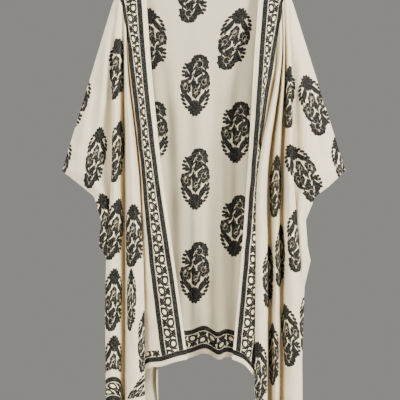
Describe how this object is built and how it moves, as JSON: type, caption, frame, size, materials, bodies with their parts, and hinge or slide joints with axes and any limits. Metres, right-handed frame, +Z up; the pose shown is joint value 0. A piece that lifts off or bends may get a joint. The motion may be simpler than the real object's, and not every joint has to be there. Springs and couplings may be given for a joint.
{
  "type": "kimono coat on a hanger",
  "caption": "Long open-front kimono coat of light printed cloth with wide sleeves and a bordered hem, hanging on a plain wooden hanger",
  "frame": {"origin": "the inside top of the hanger's hook, where a rail carries it", "axes": "+Z up, +X to the viewer's right as the front is looked at, and the front faces -Y"},
  "size_m": [0.7086, 0.1014, 1.2654],
  "materials": {
    "printed_cloth": "soft matt viscose with a black block print",
    "wood": "satin lacquer",
    "steel": "polished wire"
  },
  "bodies": {
    "root": {"back": "printed_cloth", "front_left": "printed_cloth", "front_right": "printed_cloth", "hanger_bar": "wood", "hanger_hook": "steel"}
  },
  "joints": []
}
